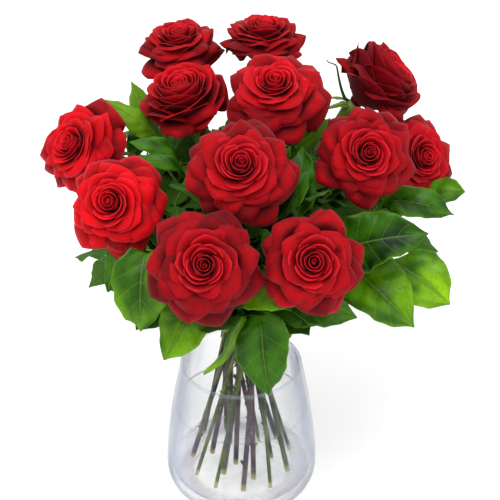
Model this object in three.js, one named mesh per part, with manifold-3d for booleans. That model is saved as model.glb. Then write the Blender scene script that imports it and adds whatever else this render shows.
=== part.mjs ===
// A hand-tied bouquet of twelve roses with broad green foliage, standing in a glass vase of water.
// Millimetres, +Z up. The origin is the centre of the vase's flat foot.
//
// The stems are arranged as a florist ties them: each one slants past the middle of the bunch in the
// same turning sense, so that the bunch is narrow at the tie and opens out above and below it.
// Places above the tie are given from the tie by azimuth, lean and reach. Reach is counted in
// bloom diameters, so the whole head opens up with the blooms that fill it.

import * as THREE from 'three';
import { mergeVertices } from 'three/addons/utils/BufferGeometryUtils.js';
import Module from 'manifold-3d';

const wasm = await Module();
wasm.setup();

// ---- Driving dimensions ----

// Vase: a tapered tumbler of thick clear glass, widest near its rounded foot.
const VASE_HEIGHT = 140;
const RIM_RADIUS = 58.5;
const BELLY_RADIUS = 75;
const BELLY_HEIGHT = 23;
const FOOT_RADIUS = 56;
const GLASS_WALL = 3.5;
const GLASS_BASE = 12;
const FLOOR_RADIUS = 57;
const WATER_DEPTH = 76;

// Stems, and the tie that gathers them.
const STEM_RADIUS = 2.6;
const BRANCH_RADIUS = 1.9;
const BRANCH_DROOP = 15;
const TIE_ABOVE_RIM = 48;
const TIE_HEIGHT = 12;
const TIE_THICKNESS = 1.4;
const STEM_SPACING = 9;
const SPIRAL_TURN = 72;
const FOOT_MARGIN = 7;
const CENTRE_FOOT = 8;
const INNER_FOOT_SHARE = 0.6;
const FOOT_SLANT = 20;
const BEND_SHARE = 0.3;

// Blooms and foliage.
const BLOOM_DIAMETER = 82;
const HIP_RADIUS = 6;
const HIP_LENGTH = 10;
const SEPALS = 5;
const SEPAL_LENGTH = 27;
const SEPAL_WIDTH = 7;
const SEPAL_THICKNESS = 1;
const LEAF_THICKNESS = 0.9;
const LEAF_FOLD = 0.12;
const PETIOLE_WIDTH = 2.4;

const CLEARANCE = 0.3;

// How finely the curved pieces are faceted.
const VASE_SIDES = 32;
const VASE_CURVE_STEPS = 5;
const WATER_CURVE_STEPS = 4;
const STEM_SIDES = 6;
const STEM_STEPS = 12;
const STRAIGHT_STEPS = 2;
const TIE_SIDES = 24;
const BLOOM_SIDES = 20;
const LEAF_ROWS = 8;
const SEPAL_ROWS = 3;

// ---- The arrangement ----

// Each rose: its place in a ring of stems at the tie, where its hip is, which way its face looks,
// its size and its depth against a full bloom, and how far its cut foot stands off the glass floor.
const placeRose = (ring, slot, azimuth, lean, reach, face, size, depth, rest) => (
  { ring, slot, azimuth, lean, reach, face, size, depth, rest }
);
const ROSES = [
  placeRose('outer', 8, 109, 44, 3.08, [245, 78], 1.02, 1.05, 5),
  placeRose('inner', 3, 82, 37, 2.98, [300, 87], 0.98, 1.1, 2),
  placeRose('inner', 4, 120.5, 28, 2.28, [234, 72], 1, 1.25, 9),
  placeRose('centre', 0, 60, 19, 2.38, [266, 62], 1.1, 1, 3),
  placeRose('inner', 2, 47.5, 43.5, 2.82, [358, 46], 1.07, 1.3, 6),
  placeRose('outer', 10, 156, 44.5, 2.42, [224, 36], 1.08, 1, 3),
  placeRose('outer', 0, 193.5, 38.5, 2, [260, 35], 1.03, 1, 6),
  placeRose('inner', 0, 270, 11, 1.95, [271, 47], 1.1, 1, 2),
  placeRose('inner', 1, 5.5, 33.5, 2.32, [277, 35], 1.04, 1, 10),
  placeRose('outer', 6, 32, 57, 2.58, [305, 31], 1.07, 1, 7),
  placeRose('outer', 1, 254, 41, 1.83, [269, 34], 1.1, 1, 2),
  placeRose('outer', 3, 304, 43, 1.84, [272, 32], 1.03, 1, 4),
];

// Each foliage branch: its place at the tie and where its tip ends.
const BRANCHES = {
  front_left: { ring: 'inner', slot: 5, azimuth: 220, lean: 42, reach: 1.85, rest: 8 },
  front: { ring: 'outer', slot: 2, azimuth: 270, lean: 47, reach: 1.2, rest: 12 },
  front_right: { ring: 'outer', slot: 4, azimuth: 335, lean: 44, reach: 1.62, rest: 4 },
  right: { ring: 'outer', slot: 5, azimuth: 4, lean: 55, reach: 2.3, rest: 5 },
  left: { ring: 'outer', slot: 9, azimuth: 143, lean: 34, reach: 2.08, rest: 9 },
  back: { ring: 'outer', slot: 7, azimuth: 78, lean: 54, reach: 1.6, rest: 3 },
};

// Each leaf, by the branch it grows from: how far along it, the foot and the tip of its blade, the
// blade's width against its length, the twist of its face about the midrib, and how far it arches.
const LEAVES = {
  front_left: [
    { along: 0.9, foot: [229, 44, 2.05], tip: [234, 66, 1.85], width: 0.75, twist: -25, arch: 0.12 },
    { along: 0.97, foot: [204, 41, 1.75], tip: [212, 61, 1.85], width: 0.6, twist: -30, arch: 0.12 },
    { along: 0.78, foot: [213, 37, 1.55], tip: [197, 32, 1.85], width: 0.5, twist: 40, arch: 0.08 },
    { along: 0.6, foot: [228, 13, 1.55], tip: [199, 23, 2], width: 0.35, twist: 65, arch: 0.1 },
  ],
  front: [
    { along: 0.8, foot: [247, 51, 1.35], tip: [239, 77, 1.55], width: 0.75, twist: -15, arch: 0.1 },
    { along: 0.6, foot: [271, 53, 1.05], tip: [248, 94, 1.05], width: 0.3, twist: -65, arch: 0.1 },
    { along: 0.75, foot: [282, 54, 1.1], tip: [284, 98, 1.25], width: 0.65, twist: 10, arch: 0.06 },
    { along: 0.97, foot: [274, 46, 1.35], tip: [295, 54, 1.65], width: 0.65, twist: -5, arch: 0.15 },
  ],
  front_right: [
    { along: 0.5, foot: [296, 47, 0.8], tip: [306, 75, 0.95], width: 1, twist: 15, arch: 0.1 },
    { along: 0.8, foot: [304, 53, 1.3], tip: [321, 67, 1.7], width: 0.6, twist: 15, arch: 0.08 },
    { along: 0.88, foot: [340, 51, 1.55], tip: [331, 75, 2.15], width: 0.7, twist: 50, arch: 0.08 },
    { along: 0.97, foot: [333, 44, 1.7], tip: [337, 53, 2.6], width: 0.65, twist: 30, arch: 0.1 },
    { along: 0.85, foot: [338, 24, 1.62], tip: [2, 17, 2.25], width: 0.55, twist: -70, arch: 0.08 },
    { along: 0.75, foot: [319, 20, 1.68], tip: [340, 21, 2.15], width: 0.5, twist: -50, arch: 0.08 },
  ],
  right: [
    { along: 0.75, foot: [350, 62, 1.95], tip: [345, 76, 2.4], width: 0.9, twist: 55, arch: 0.1 },
    { along: 0.8, foot: [2, 47, 2.15], tip: [356, 58, 2.7], width: 0.55, twist: 55, arch: 0.14 },
    { along: 0.97, foot: [12, 58, 2.6], tip: [8, 60, 2.9], width: 1, twist: 85, arch: 0.1 },
  ],
  left: [
    { along: 0.97, foot: [138, 33.5, 2.22], tip: [154, 34.5, 2.9], width: 0.4, twist: -140, arch: 0.12 },
    { along: 0.98, foot: [129, 42, 2.5], tip: [132, 39, 3], width: 0.6, twist: 150, arch: 0.06 },
    { along: 0.9, foot: [133, 39, 2.4], tip: [143, 47, 2.25], width: 0.65, twist: -80, arch: 0.1 },
    { along: 0.8, foot: [151, 24, 2.05], tip: [162, 32, 2.4], width: 0.45, twist: -90, arch: 0.1 },
    { along: 0.7, foot: [168, 20, 1.95], tip: [174, 32, 2.3], width: 0.35, twist: -50, arch: 0.1 },
    { along: 0.6, foot: [134, 56, 1.35], tip: [142, 82, 1.8], width: 0.65, twist: 0, arch: 0.12 },
  ],
  back: [
    { along: 0.6, foot: [41, 22, 2.05], tip: [33, 28, 2.5], width: 0.5, twist: 140, arch: 0.1 },
    { along: 0.95, foot: [62, 58, 1.7], tip: [55, 74, 2.2], width: 0.65, twist: 0, arch: 0.12 },
    { along: 0.85, foot: [85, 62, 1.5], tip: [88, 86, 1.9], width: 0.65, twist: 0, arch: 0.12 },
    { along: 0.97, foot: [92, 55, 1.75], tip: [103, 68, 2.3], width: 0.65, twist: 0, arch: 0.12 },
  ],
};

// ---- Materials ----

const finish = (color, roughness, opacity = 1) => (
  new THREE.MeshStandardMaterial({ color, roughness, metalness: 0, transparent: opacity < 1, opacity })
);
const MATERIALS = {
  glass: finish(0xe8f0f0, 0.03, 0.35),
  water: finish(0xf2f6f6, 0.02, 0.3),
  twine: finish(0x8d7a4f, 0.9),
  stem: finish(0x5c6b3c, 0.55),
  branch: finish(0x6a5546, 0.7),
  petal: finish(0xb30a18, 0.6),
  leaf: finish(0x3f8a12, 0.35),
};

// ---- Small helpers ----

const UP = new THREE.Vector3(0, 0, 1);
const radians = THREE.MathUtils.degToRad;
const TIE_CENTRE = new THREE.Vector3(0, 0, VASE_HEIGHT + TIE_ABOVE_RIM);

const bouquet = new THREE.Group();

function addPiece(name, geometry, material) {
  const mesh = new THREE.Mesh(geometry, material);
  mesh.name = name;
  bouquet.add(mesh);
  return mesh;
}

// A point level with the origin, at an azimuth and a radius.
function around(azimuth, radius, height = 0) {
  const angle = radians(azimuth);
  return new THREE.Vector3(radius * Math.cos(angle), radius * Math.sin(angle), height);
}

function direction(azimuth, elevation) {
  return around(azimuth, Math.cos(radians(elevation)), Math.sin(radians(elevation)));
}

// A place in the head of the bouquet, reach counted in bloom diameters from the tie.
function inHead(azimuth, lean, reach) {
  return direction(azimuth, 90 - lean).multiplyScalar(reach * BLOOM_DIAMETER).add(TIE_CENTRE);
}

// A closed geometry as a manifold solid, and back.
function toSolid(geometry) {
  const bare = geometry.clone();
  bare.deleteAttribute('normal');
  bare.deleteAttribute('uv');
  const merged = mergeVertices(bare, 1e-4);
  return new wasm.Manifold(new wasm.Mesh({
    numProp: 3,
    vertProperties: new Float32Array(merged.attributes.position.array),
    triVerts: new Uint32Array(merged.index.array),
  }));
}

function toGeometry(solid) {
  const mesh = solid.getMesh();
  const geometry = new THREE.BufferGeometry();
  geometry.setAttribute('position', new THREE.BufferAttribute(mesh.vertProperties, 3));
  geometry.setIndex(new THREE.BufferAttribute(mesh.triVerts, 1));
  geometry.computeVertexNormals();
  return geometry;
}

function fuse(geometries) {
  return toGeometry(geometries.map(toSolid).reduce((whole, piece) => whole.add(piece)));
}

// A profile of radius and height, turned about +Z.
function turn(profile, sides) {
  return new THREE.LatheGeometry(profile, sides).rotateX(Math.PI / 2);
}

// Places a geometry with its own +Z along an axis, from a base point.
function standAlong(geometry, base, axis) {
  geometry.applyQuaternion(new THREE.Quaternion().setFromUnitVectors(UP, axis));
  geometry.translate(base.x, base.y, base.z);
  return geometry;
}

// ---- Vase and water ----

// The glass wall's inner face, inset from the outer one, as a curve from the rim to the axis.
function traceInside(path, inset, top) {
  const slope = (BELLY_RADIUS - RIM_RADIUS) / (VASE_HEIGHT - BELLY_HEIGHT);
  const floor = GLASS_BASE + inset;
  const bendHeight = floor + BELLY_HEIGHT - GLASS_BASE / 2;
  const wallRadius = (height) => RIM_RADIUS + slope * (VASE_HEIGHT - height) - GLASS_WALL - inset;
  path.lineTo(wallRadius(top), top);
  path.lineTo(wallRadius(bendHeight), bendHeight);
  path.quadraticCurveTo(wallRadius(floor), floor, FLOOR_RADIUS - inset, floor);
  path.lineTo(0, floor);
}

function vaseGeometry() {
  const profile = new THREE.Path();
  profile.moveTo(0, 0);
  profile.lineTo(FOOT_RADIUS, 0);
  profile.bezierCurveTo(
    FOOT_RADIUS + 0.7 * (BELLY_RADIUS - FOOT_RADIUS), 0,
    BELLY_RADIUS, 0.4 * BELLY_HEIGHT,
    BELLY_RADIUS, BELLY_HEIGHT,
  );
  profile.lineTo(RIM_RADIUS, VASE_HEIGHT - GLASS_WALL / 2);
  const lip = GLASS_WALL / 2;
  profile.absarc(RIM_RADIUS - lip, VASE_HEIGHT - lip, lip, 0, Math.PI, false);
  traceInside(profile, 0, VASE_HEIGHT - GLASS_WALL);
  return turn(profile.getPoints(VASE_CURVE_STEPS), VASE_SIDES);
}

// The still water fills the glass up to its level and closes round every stem that stands in it.
function waterGeometry(stems) {
  const level = GLASS_BASE + WATER_DEPTH;
  const profile = new THREE.Path();
  profile.moveTo(0, level);
  traceInside(profile, CLEARANCE, level);
  const points = profile.getPoints(WATER_CURVE_STEPS).reverse();
  let water = toSolid(turn(points, VASE_SIDES));
  for (const stem of stems) {
    water = water.subtract(toSolid(stem.sleeve()));
  }
  return toGeometry(water);
}

// ---- Stems ----

// The three rings that the stems pass through at the tie, from the middle of the bunch outwards.
// Neighbours in a ring are one spacing apart.
const ringRadius = (count) => STEM_SPACING / 2 / Math.sin(Math.PI / count);
const FLOOR_RING = FLOOR_RADIUS - FOOT_MARGIN;
const RINGS = {
  centre: { count: 1, waist: 0, foot: CENTRE_FOOT },
  inner: { count: 6, waist: ringRadius(6), foot: INNER_FOOT_SHARE * FLOOR_RING },
  outer: { count: 11, waist: ringRadius(11), foot: FLOOR_RING },
};

// Stems in each ring stand evenly, from this azimuth of what they carry, one ring turn after another.
const FIRST_AZIMUTH = { centre: 8, inner: 258, outer: 220 };

// A stem runs straight from its cut foot past the tie, then bends out to what it carries. It is
// stepped by parameter rather than by length, so the straight foot takes few steps.
class StemPath extends THREE.Curve {
  constructor(foot, waist, end, endDirection) {
    super();
    this.straight = new THREE.LineCurve3(foot, waist);
    const span = waist.distanceTo(end);
    const leave = waist.clone().sub(foot).normalize().multiplyScalar(BEND_SHARE * span).add(waist);
    const arrive = end.clone().addScaledVector(endDirection, -BEND_SHARE * span);
    this.bend = new THREE.CubicBezierCurve3(waist, leave, arrive, end);
  }

  getPoint(t, target = new THREE.Vector3()) {
    const straightShare = STRAIGHT_STEPS / STEM_STEPS;
    if (t < straightShare) {
      return this.straight.getPoint(t / straightShare, target);
    }
    return this.bend.getPoint((t - straightShare) / (1 - straightShare), target);
  }

  getPointAt(u, target) {
    return this.getPoint(u, target);
  }

  getTangentAt(u, target) {
    return this.getTangent(u, target);
  }
}

function polygon(radius, sides) {
  const corners = [];
  for (let i = 0; i < sides; i += 1) {
    const angle = (2 * Math.PI * i) / sides;
    corners.push(new THREE.Vector2(radius * Math.cos(angle), radius * Math.sin(angle)));
  }
  return new THREE.Shape(corners);
}

function tube(path, radius, steps) {
  const section = polygon(radius, STEM_SIDES);
  return new THREE.ExtrudeGeometry(section, { extrudePath: path, steps, bevelEnabled: false });
}

// The way of one stem: where its foot stands, where it passes the tie, and where it ends.
function layStem({ ring, slot, rest }, radius, end, endDirection) {
  const { count, waist, foot } = RINGS[ring];
  const carried = FIRST_AZIMUTH[ring] + (360 * slot) / count;
  const waistAzimuth = carried - SPIRAL_TURN;
  const floor = GLASS_BASE + CLEARANCE + radius * Math.sin(radians(FOOT_SLANT));
  const footPoint = around(waistAzimuth - SPIRAL_TURN, foot, floor + rest);
  const waistPoint = around(waistAzimuth, waist, TIE_CENTRE.z);
  const path = new StemPath(footPoint, waistPoint, end, endDirection);
  const sleeve = () => {
    const along = waistPoint.clone().sub(footPoint).normalize();
    const below = footPoint.clone().addScaledVector(along, -CLEARANCE);
    return tube(new THREE.LineCurve3(below, waistPoint), radius + CLEARANCE, 1);
  };
  return { path, radius, sleeve };
}

// ---- Blooms ----

// A bloom's outline from its seat on the hip, out under the reflexed guard petals to their lip, and
// back over the crowded middle petals to the furled heart. Radius and height are in bloom diameters.
const BLOOM_PROFILE = [
  [0, 0], [0.07, 0.0], [0.24, 0.07], [0.41, 0.17], [0.49, 0.28],
  [0.47, 0.37], [0.37, 0.45], [0.24, 0.53], [0.11, 0.575], [0, 0.56],
];
const GUARD_PETALS = 5;
const LIP_POINT = 0.05;
const LIP_INSET = 0.03;
const TIER_HEIGHT = 0.4;
const TIER_START = 0.2;

// The lip is drawn out to a point at each guard petal, and the tier above fills in between them. A
// bloom that is less open is deeper.
function bloomGeometry(diameter, depth) {
  const points = BLOOM_PROFILE.map(([radius, height]) => (
    new THREE.Vector2(radius * diameter, height * diameter)
  ));
  const geometry = turn(points, BLOOM_SIDES);
  const position = geometry.attributes.position;
  const place = new THREE.Vector3();
  for (let i = 0; i < position.count; i += 1) {
    place.fromBufferAttribute(position, i);
    const angle = Math.atan2(place.y, place.x);
    const height = place.z / diameter;
    const wave = Math.cos(GUARD_PETALS * angle);
    const tier = height < TIER_HEIGHT ? 1 : -1;
    const spread = 1 + LIP_POINT * tier * wave * Math.min(1, height / TIER_START) - LIP_INSET;
    position.setXYZ(i, place.x * spread, place.y * spread, place.z * depth);
  }
  return geometry;
}

// ---- Leaves and sepals ----

// A thin blade on a midrib curve. A box two cells wide is drawn out along the curve, narrowed to the
// half width at each station and folded a little along the midrib. face is the side it shows.
function bladeGeometry(midrib, face, halfWidth, thickness, rows, fold) {
  const box = new THREE.BoxGeometry(2, thickness, 1, fold ? 2 : 1, 1, rows);
  const position = box.attributes.position;
  const place = new THREE.Vector3();
  for (let i = 0; i < position.count; i += 1) {
    place.fromBufferAttribute(position, i);
    const station = place.z + 0.5;
    const along = midrib.getTangentAt(station);
    const out = face.clone().addScaledVector(along, -face.dot(along)).normalize();
    const across = new THREE.Vector3().crossVectors(along, out);
    const half = halfWidth(station);
    const spot = midrib.getPointAt(station);
    spot.addScaledVector(across, -place.x * half);
    spot.addScaledVector(out, place.y + fold * Math.abs(place.x) * half);
    position.setXYZ(i, spot.x, spot.y, spot.z);
  }
  return box;
}

// Half the blade's width along a leaf: a thin petiole, then an egg-shaped blade with a drawn tip.
// The blade is widest before its middle, by the first power, and full-sided, by the second.
const EGG_SHIFT = 0.72;
const EGG_FULLNESS = 0.8;
const TIP_START = 0.98;
const TIP_HALF_WIDTH = 0.5;
function leafOutline(petioleShare, width) {
  return (station) => {
    const t = Math.max(0, (station - petioleShare) / (1 - petioleShare));
    const blade = (width / 2) * Math.sin(Math.PI * t ** EGG_SHIFT) ** EGG_FULLNESS;
    const least = t > TIP_START ? TIP_HALF_WIDTH : PETIOLE_WIDTH / 2;
    return Math.max(blade, least);
  };
}

function leafGeometry({ along, foot, tip, width, twist, arch }, stem) {
  const footPoint = inHead(...foot);
  const tipPoint = inHead(...tip);
  const blade = tipPoint.clone().sub(footPoint);
  const length = blade.length();
  const middle = footPoint.clone().lerp(tipPoint, 0.5);
  const outward = middle.clone().sub(TIE_CENTRE).setZ(0).normalize().add(UP.clone().multiplyScalar(0.7));
  const axis = blade.clone().normalize();
  const face = outward.addScaledVector(axis, -outward.dot(axis)).normalize();
  face.applyAxisAngle(axis, radians(twist));
  middle.addScaledVector(face, arch * length);

  const node = stem.path.bend.getPoint(along);
  const grain = stem.path.bend.getTangent(along);
  const away = footPoint.clone().sub(node);
  away.addScaledVector(grain, -away.dot(grain)).normalize();
  const start = node.addScaledVector(away, stem.radius + 2 * CLEARANCE);
  const clear = start.clone().addScaledVector(away, 2 * stem.radius);
  const places = [start, clear, footPoint, middle, tipPoint];
  const midrib = new THREE.CatmullRomCurve3(places, false, 'centripetal');
  const petioleShare = start.distanceTo(footPoint) / midrib.getLength();
  const outline = leafOutline(petioleShare, width * length);
  return bladeGeometry(midrib, face, outline, LEAF_THICKNESS, LEAF_ROWS, LEAF_FOLD);
}

// The five sepals spread from the hip and bend back along the stem.
function sepalGeometries(base, axis) {
  const level = Math.abs(axis.z) < 0.9 ? UP : new THREE.Vector3(1, 0, 0);
  const side = new THREE.Vector3().crossVectors(axis, level).normalize();
  const sepals = [];
  for (let i = 0; i < SEPALS; i += 1) {
    const out = side.clone().applyAxisAngle(axis, (2 * Math.PI * i) / SEPALS);
    const at = (spread, rise) => base.clone().addScaledVector(out, spread).addScaledVector(axis, rise);
    const midrib = new THREE.QuadraticBezierCurve3(
      at(0.3 * HIP_RADIUS, -0.25 * HIP_LENGTH),
      at(0.6 * SEPAL_LENGTH, -0.3 * HIP_LENGTH),
      at(0.75 * SEPAL_LENGTH, -0.6 * SEPAL_LENGTH),
    );
    const outline = (station) => (SEPAL_WIDTH / 2) * (1 - station) ** 0.8 + 0.3;
    sepals.push(bladeGeometry(midrib, axis, outline, SEPAL_THICKNESS, SEPAL_ROWS, 0));
  }
  return sepals;
}

function hipGeometry(base, axis) {
  const profile = [
    new THREE.Vector2(0, -HIP_LENGTH),
    new THREE.Vector2(STEM_RADIUS, -HIP_LENGTH),
    new THREE.Vector2(HIP_RADIUS, -0.5 * HIP_LENGTH),
    new THREE.Vector2(0.8 * HIP_RADIUS, -CLEARANCE),
    new THREE.Vector2(0, -CLEARANCE),
  ];
  return standAlong(turn(profile, STEM_SIDES), base, axis);
}

// ---- The bouquet put together ----

addPiece('vase', vaseGeometry(), MATERIALS.glass);

const stemsInWater = [];
const twoDigits = (number) => String(number).padStart(2, '0');

ROSES.forEach((rose, index) => {
  const base = inHead(rose.azimuth, rose.lean, rose.reach);
  const axis = direction(...rose.face);
  const neck = base.clone().addScaledVector(axis, -0.4 * HIP_LENGTH);
  const stem = layStem(rose, STEM_RADIUS, neck, axis);
  stemsInWater.push(stem);
  const wood = tube(stem.path, STEM_RADIUS, STEM_STEPS);
  const pieces = [wood, hipGeometry(base, axis), ...sepalGeometries(base, axis)];
  addPiece(`rose_stem_${twoDigits(index + 1)}`, fuse(pieces), MATERIALS.stem);
  const bloom = standAlong(bloomGeometry(rose.size * BLOOM_DIAMETER, rose.depth), base, axis);
  addPiece(`rose_bloom_${twoDigits(index + 1)}`, bloom, MATERIALS.petal);
});

const branchStems = {};
for (const [name, branch] of Object.entries(BRANCHES)) {
  const end = inHead(branch.azimuth, branch.lean, branch.reach);
  const droop = direction(branch.azimuth, 90 - branch.lean - BRANCH_DROOP);
  const stem = layStem(branch, BRANCH_RADIUS, end, droop);
  branchStems[name] = stem;
  stemsInWater.push(stem);
  addPiece(`branch_${name}`, tube(stem.path, BRANCH_RADIUS, STEM_STEPS), MATERIALS.branch);
}

let leafNumber = 0;
for (const [branch, leaves] of Object.entries(LEAVES)) {
  for (const leaf of leaves) {
    leafNumber += 1;
    addPiece(`leaf_${twoDigits(leafNumber)}`, leafGeometry(leaf, branchStems[branch]), MATERIALS.leaf);
  }
}

// The tie bears on the outer ring of stems, which are at their closest there.
const tieInside = RINGS.outer.waist + 1.2 * STEM_RADIUS + 2 * CLEARANCE;
const tieProfile = [
  new THREE.Vector2(tieInside, -TIE_HEIGHT / 2),
  new THREE.Vector2(tieInside + TIE_THICKNESS, -TIE_HEIGHT / 2),
  new THREE.Vector2(tieInside + 1.3 * TIE_THICKNESS, 0),
  new THREE.Vector2(tieInside + TIE_THICKNESS, TIE_HEIGHT / 2),
  new THREE.Vector2(tieInside, TIE_HEIGHT / 2),
  new THREE.Vector2(tieInside, -TIE_HEIGHT / 2),
];
addPiece('binding_tie', standAlong(turn(tieProfile, TIE_SIDES), TIE_CENTRE, UP), MATERIALS.twine);

addPiece('water', waterGeometry(stemsInWater), MATERIALS.water);

export default bouquet;
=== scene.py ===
"""Looks for a bouquet of twelve red roses with broad green foliage in a glass vase of water.

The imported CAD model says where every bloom, stem and leaf is. Each of its plain solids is read for its
place and size and gets a detailed piece in its stead: blooms of single petals, veined leaves, thorny
stems, blown glass and twine. Metres, +Z up, with -Y towards the camera.
"""

import math

import bpy
import numpy as np
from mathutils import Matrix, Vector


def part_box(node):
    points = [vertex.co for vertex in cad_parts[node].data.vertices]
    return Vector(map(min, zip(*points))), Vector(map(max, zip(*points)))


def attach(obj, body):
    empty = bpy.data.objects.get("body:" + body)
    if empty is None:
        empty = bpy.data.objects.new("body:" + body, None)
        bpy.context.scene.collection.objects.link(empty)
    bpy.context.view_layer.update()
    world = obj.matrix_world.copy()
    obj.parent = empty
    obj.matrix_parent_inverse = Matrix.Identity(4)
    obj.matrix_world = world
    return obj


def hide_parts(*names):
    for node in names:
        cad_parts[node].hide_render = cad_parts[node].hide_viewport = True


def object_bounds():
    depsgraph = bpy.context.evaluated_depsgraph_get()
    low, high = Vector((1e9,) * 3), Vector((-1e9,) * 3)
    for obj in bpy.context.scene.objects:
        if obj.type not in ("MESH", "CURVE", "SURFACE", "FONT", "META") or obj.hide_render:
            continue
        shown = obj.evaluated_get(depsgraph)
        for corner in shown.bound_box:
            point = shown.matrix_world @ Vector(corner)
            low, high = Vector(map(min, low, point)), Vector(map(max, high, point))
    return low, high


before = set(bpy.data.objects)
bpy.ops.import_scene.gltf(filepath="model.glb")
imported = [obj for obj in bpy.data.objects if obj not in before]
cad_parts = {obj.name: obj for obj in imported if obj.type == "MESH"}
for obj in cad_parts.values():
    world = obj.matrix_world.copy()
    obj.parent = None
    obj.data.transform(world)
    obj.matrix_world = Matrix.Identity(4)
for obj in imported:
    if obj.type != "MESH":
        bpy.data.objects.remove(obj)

cad_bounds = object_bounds()
BODY = "root"
MM = 0.001
UP = np.array([0.0, 0.0, 1.0])
ASIDE = np.array([1.0, 0.0, 0.0])
FLAT = np.array([1.0, 1.0, 0.0])
TURN = 2 * math.pi
GOLDEN = math.radians(137.5)
GOLDEN_SHARE = 0.618
PLAIN = (0.5, 0.5, 0.5)

# How the CAD solids are drawn: the corners round a stem and in a row across a leaf, how wide a stem is where
# its hip begins, in radii, how flat a bloom's seat is and the corners it has at least, and how deep a wide
# open bloom is, in its own diameters.
STEM_SIDES = 6
LEAF_ROW = 6
HIP_SWELL = 3.5
SEAT_DEPTH = 0.1 * MM
SEAT_CORNERS = 5
OPEN_DEPTH = 0.575

# Side veins on each half of a leaf.
VEINS = 7

# The starts of the random draws.
BLOOM_SEED, STEM_SEED, LEAF_SEED, ROSE_LEAF_SEED, FILLER_SEED = 20, 100, 300, 700, 41


# ---------------------------------------------------------------- shader maths


def maths(operation, reflected=False):
    """A method of Value that makes a Math node of that kind."""
    def apply(value, *others):
        values = (*others, value) if reflected else (value, *others)
        return value.finish.node("Math", {"operation": operation}, *values)
    return apply


class Value:
    """A number socket that can be used in Python expressions."""

    def __init__(self, finish, socket):
        self.finish = finish
        self.socket = socket

    __add__ = maths("ADD")
    __radd__ = maths("ADD", reflected=True)
    __sub__ = maths("SUBTRACT")
    __rsub__ = maths("SUBTRACT", reflected=True)
    __mul__ = maths("MULTIPLY")
    __rmul__ = maths("MULTIPLY", reflected=True)
    __pow__ = maths("POWER")
    absolute = maths("ABSOLUTE")
    sine = maths("SINE")

    def ramp(self, low, high, start=0.0, end=1.0):
        """Start below low, end above high, and a smooth step between them."""
        settings = {"interpolation_type": "SMOOTHSTEP"}
        return self.finish.node("MapRange", settings, self, low, high, start, end)


# Where a Mix node takes its share and two colours and gives the mixed one, and where an Attribute node
# gives a plain number.
MIX_INPUTS = (0, 6, 7)
MIX_OUTPUT = 2
NUMBER_OUTPUT = 2


class Finish:
    """A procedural material on one Principled surface."""

    def __init__(self, name, **constants):
        self.material = bpy.data.materials.new(name)
        self.material.use_nodes = True
        self.tree = self.material.node_tree
        self.surface = self.tree.nodes["Principled BSDF"].inputs
        for key, value in constants.items():
            socket_name = key.replace("_", " ").title().replace("Ior", "IOR")
            self.surface[socket_name].default_value = value

    def node(self, kind, settings, *values, out=0, **named):
        """Makes a node, applies its settings, then fills its sockets with values or links."""
        made = self.tree.nodes.new("ShaderNode" + kind)
        for setting, value in settings.items():
            setattr(made, setting, value)
        for key, value in (*enumerate(values), *named.items()):
            self.feed(made.inputs[key], value)
        return Value(self, made.outputs[out])

    def feed(self, socket, value):
        if isinstance(value, Value):
            self.tree.links.new(value.socket, socket)
        elif socket.type == "RGBA":
            socket.default_value = (*value, 1.0)
        else:
            socket.default_value = value

    def split(self, kind, value):
        """The three numbers that a colour or a place is made of."""
        made = self.tree.nodes.new("ShaderNodeSeparate" + kind)
        self.feed(made.inputs[0], value)
        return [Value(self, made.outputs[i]) for i in range(3)]

    def tint(self):
        """The piece's own painted numbers: red, green and blue carry what its maker says."""
        return self.split("Color", self.node("Attribute", {"attribute_name": "tint"}))

    def side(self):
        """1 on the inner or upper face of a thin sheet, 0 on the other."""
        return self.node("Attribute", {"attribute_name": "side"}, out=NUMBER_OUTPUT)

    def edge_on(self):
        """0 where the surface is seen square on, and up to 1 where it is seen edge on."""
        return self.node("LayerWeight", {}, 0.5, out="Facing")

    def uv(self):
        return self.split("XYZ", self.node("UVMap", {"uv_map": "UVMap"}))[:2]

    def place(self, u, v, w):
        return self.node("CombineXYZ", {}, u, v, w)

    def object_place(self):
        return self.node("TexCoord", {}, out="Object")

    def noise(self, vector, scale, detail):
        return self.node("TexNoise", {}, Vector=vector, Scale=scale, Detail=detail, Roughness=0.55)

    def stretch(self, vector, scale):
        return self.node("Mapping", {}, Vector=vector, Scale=scale)

    def blend(self, share, first, second):
        """The first colour where share is 0, the second where it is 1."""
        made = self.tree.nodes.new("ShaderNodeMix")
        made.data_type = "RGBA"
        for index, value in zip(MIX_INPUTS, (share, first, second)):
            self.feed(made.inputs[index], value)
        return Value(self, made.outputs[MIX_OUTPUT])

    def colour(self, value):
        self.feed(self.surface["Base Color"], value)

    def roughness(self, value):
        self.feed(self.surface["Roughness"], value)

    def alpha(self, value):
        """How solid the surface is: 0 lets all light through."""
        self.feed(self.surface["Alpha"], value)

    def bump(self, height, strength, distance):
        normal = self.node("Bump", {}, Strength=strength, Distance=distance, Height=height)
        self.feed(self.surface["Normal"], normal)


def placed(name, data):
    """A new object in the scene."""
    made = bpy.data.objects.new(name, data)
    bpy.context.scene.collection.objects.link(made)
    return made


# ---------------------------------------------------------------- meshes


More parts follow.
